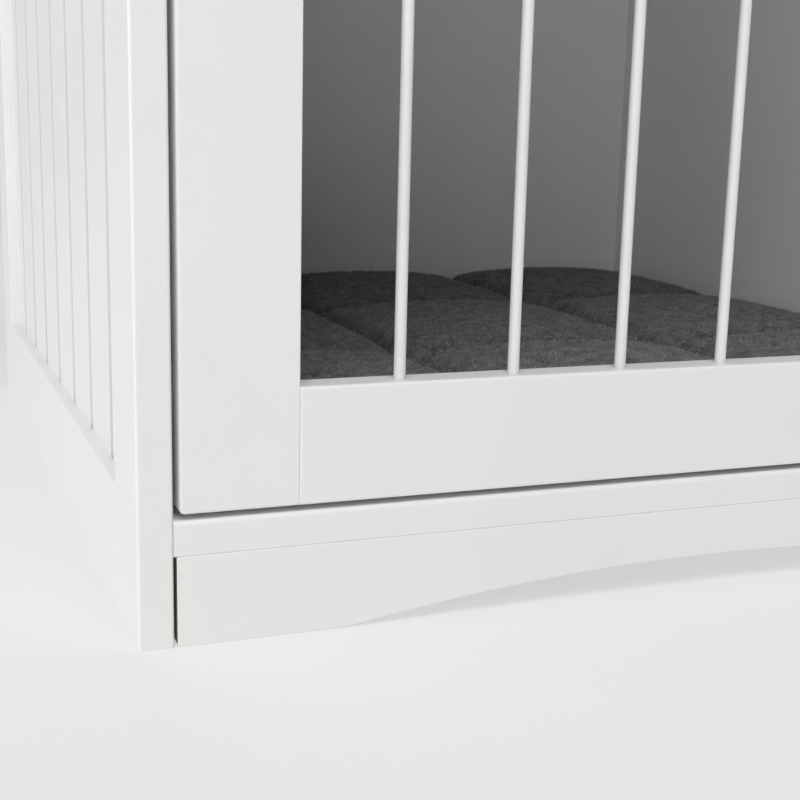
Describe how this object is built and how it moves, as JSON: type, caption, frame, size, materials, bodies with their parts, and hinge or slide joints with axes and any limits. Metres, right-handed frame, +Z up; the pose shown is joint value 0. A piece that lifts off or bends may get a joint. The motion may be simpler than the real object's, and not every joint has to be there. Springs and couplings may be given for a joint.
{
  "type": "pet crate",
  "caption": "Low white wooden furniture pet crate with grooved side panels, a barred hinged front door, a slide bolt, an arched plinth and a quilted plush floor cushion.",
  "frame": {"origin": "middle of the top panel's footprint, at the level of the floor that the crate stands on", "axes": "+X to the right seen from the front, +Y from the door to the back, +Z up"},
  "size_m": [0.496, 0.514, 0.51],
  "materials": {
    "white_lacquer": "satin white lacquer on fibreboard",
    "bar_metal": "white powder coat",
    "plush": "short dark grey plush, quilted",
    "nickel": "satin nickel plate",
    "zinc": "die-cast zinc",
    "beech": "raw beech"
  },
  "bodies": {
    "crate": {"back_panel": "white_lacquer", "bolt_keeper": "nickel", "cam_bolts": "zinc", "cam_locks": "zinc", "carcass_dowels": "beech", "cushion": "plush", "door_stop": "white_lacquer", "floor_panel": "white_lacquer", "front_apron": "white_lacquer", "hinge_frame_screws": "nickel", "keeper_screws": "nickel", "left_bottom_rail": "white_lacquer", "left_front_stile": "white_lacquer", "left_grooved_panel": "white_lacquer", "left_rear_stile": "white_lacquer", "left_side_tongues": "beech", "left_top_rail": "white_lacquer", "lower_hinge_frame_leaf": "nickel", "lower_hinge_pin": "nickel", "right_bottom_rail": "white_lacquer", "right_front_stile": "white_lacquer", "right_grooved_panel": "white_lacquer", "right_rear_stile": "white_lacquer", "right_side_tongues": "beech", "right_top_rail": "white_lacquer", "top_panel": "white_lacquer", "upper_hinge_frame_leaf": "nickel", "upper_hinge_pin": "nickel"},
    "door": {"door_bar_1": "bar_metal", "door_bar_2": "bar_metal", "door_bar_3": "bar_metal", "door_bar_4": "bar_metal", "door_bar_5": "bar_metal", "door_bar_6": "bar_metal", "door_bar_7": "bar_metal", "door_bottom_rail": "white_lacquer", "door_left_stile": "white_lacquer", "door_right_stile": "white_lacquer", "door_tongues": "beech", "door_top_rail": "white_lacquer", "upper_hinge_door_leaf": "nickel", "lower_hinge_door_leaf": "nickel", "hinge_door_screws": "nickel", "bolt_plate": "nickel", "bolt_plate_screws": "nickel"},
    "bolt": {"bolt_rod": "nickel", "bolt_knob": "nickel"}
  },
  "joints": [
    {"name": "door_swing", "type": "hinge", "parent": "crate", "child": "door", "pos_m": [0.22585, -0.2458, 0.272], "axis": [0, 0, 1], "range_deg": [0, 170]},
    {"name": "bolt_slide", "type": "slide", "parent": "door", "child": "bolt", "axis": [-1, 0, 0], "range_m": [0, 0.013]}
  ]
}
